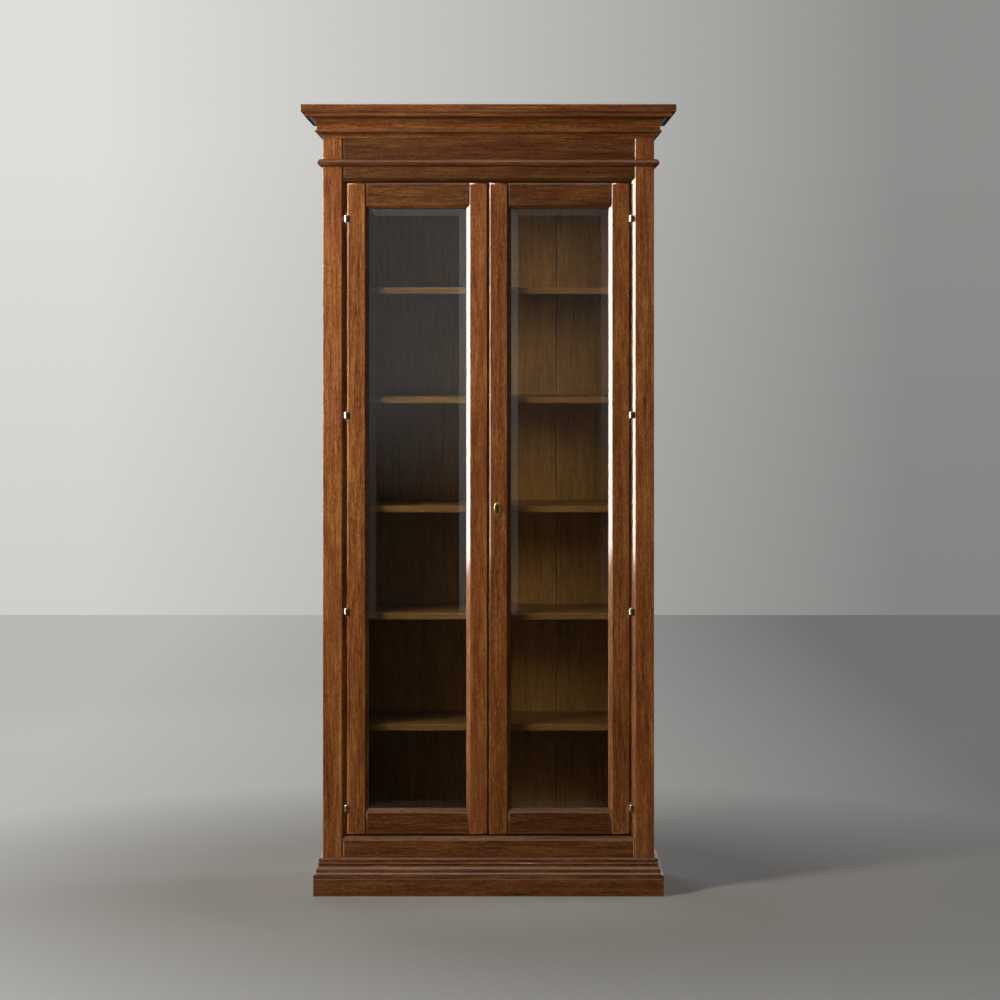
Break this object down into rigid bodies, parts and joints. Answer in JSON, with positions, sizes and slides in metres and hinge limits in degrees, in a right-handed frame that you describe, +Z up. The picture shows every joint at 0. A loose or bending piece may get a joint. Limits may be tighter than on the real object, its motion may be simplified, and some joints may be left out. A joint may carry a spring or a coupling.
{
  "type": "display cabinet",
  "caption": "Tall wooden display cabinet with two bevelled-glass doors, inner shelves, a moulded cornice and a plinth.",
  "frame": {"origin": "middle of the bounding box on the floor", "axes": "+Z up, +Y to the back, +X to the right seen from the front"},
  "size_m": [1.132, 0.46, 2.393],
  "materials": {
    "case_wood": "stained and lacquered, satin",
    "door_wood": "stained and lacquered, satin",
    "moulding_wood": "stained and lacquered, satin",
    "inner_wood": "stained, thin lacquer",
    "bevelled_glass": "polished, bevelled edge",
    "aged_brass": "polished, darkened with age",
    "screw_steel": "plain"
  },
  "bodies": {
    "root": {"astragal_front": "moulding_wood", "astragal_returns": "moulding_wood", "back_board_1": "inner_wood", "back_board_2": "inner_wood", "back_board_3": "inner_wood", "back_board_4": "inner_wood", "base_moulding_front": "moulding_wood", "base_moulding_left": "moulding_wood", "base_moulding_right": "moulding_wood", "bottom_board": "inner_wood", "bottom_door_stop": "inner_wood", "cornice_moulding_front": "moulding_wood", "cornice_moulding_left": "moulding_wood", "cornice_moulding_right": "moulding_wood", "cornice_slab": "moulding_wood", "frame_bottom_rail": "case_wood", "frame_header_rail": "case_wood", "frame_left_stile": "case_wood", "frame_right_stile": "case_wood", "glue_blocks": "inner_wood", "hanging_rail": "inner_wood", "hinge_pins": "aged_brass", "jamb_hinge_leaves": "aged_brass", "jamb_hinge_screws": "screw_steel", "left_side_panel": "case_wood", "plinth_front": "moulding_wood", "plinth_left": "moulding_wood", "plinth_right": "moulding_wood", "right_side_panel": "case_wood", "shelf_1": "inner_wood", "shelf_2": "inner_wood", "shelf_3": "inner_wood", "shelf_4": "inner_wood", "shelf_5": "inner_wood", "shelf_pins": "aged_brass", "top_board": "inner_wood", "top_door_stop": "inner_wood"},
    "left_door": {"left_door_hinge_stile": "door_wood", "left_door_meeting_stile": "door_wood", "left_door_top_rail": "door_wood", "left_door_bottom_rail": "door_wood", "left_door_glass": "bevelled_glass", "left_door_glazing_beads": "door_wood", "left_door_hinge_leaves": "aged_brass", "left_door_hinge_screws": "screw_steel", "strike_plate": "aged_brass", "surface_bolt_cases": "aged_brass"},
    "right_door": {"right_door_hinge_stile": "door_wood", "right_door_meeting_stile": "door_wood", "right_door_top_rail": "door_wood", "right_door_bottom_rail": "door_wood", "right_door_glass": "bevelled_glass", "right_door_glazing_beads": "door_wood", "right_door_hinge_leaves": "aged_brass", "right_door_hinge_screws": "screw_steel", "lock_case": "aged_brass", "escutcheon": "aged_brass"},
    "lock_bolt": {"lock_bolt": "aged_brass"},
    "upper_bolt": {"upper_bolt_rod": "aged_brass"},
    "lower_bolt": {"lower_bolt_rod": "aged_brass"}
  },
  "joints": [
    {"name": "left_door_hinge", "type": "hinge", "parent": "root", "child": "left_door", "pos_m": [-0.432, -0.163, 1.17], "axis": [0, 0, -1], "range_deg": [0, 110]},
    {"name": "right_door_hinge", "type": "hinge", "parent": "root", "child": "right_door", "pos_m": [0.432, -0.163, 1.17], "axis": [0, 0, 1], "range_deg": [0, 110]},
    {"name": "lock_bolt_throw", "type": "slide", "parent": "right_door", "child": "lock_bolt", "axis": [-1, 0, 0], "range_m": [0, 0.008]},
    {"name": "upper_bolt_throw", "type": "slide", "parent": "left_door", "child": "upper_bolt", "axis": [0, 0, 1], "range_m": [0, 0.012]},
    {"name": "lower_bolt_throw", "type": "slide", "parent": "left_door", "child": "lower_bolt", "axis": [0, 0, -1], "range_m": [0, 0.012]}
  ]
}
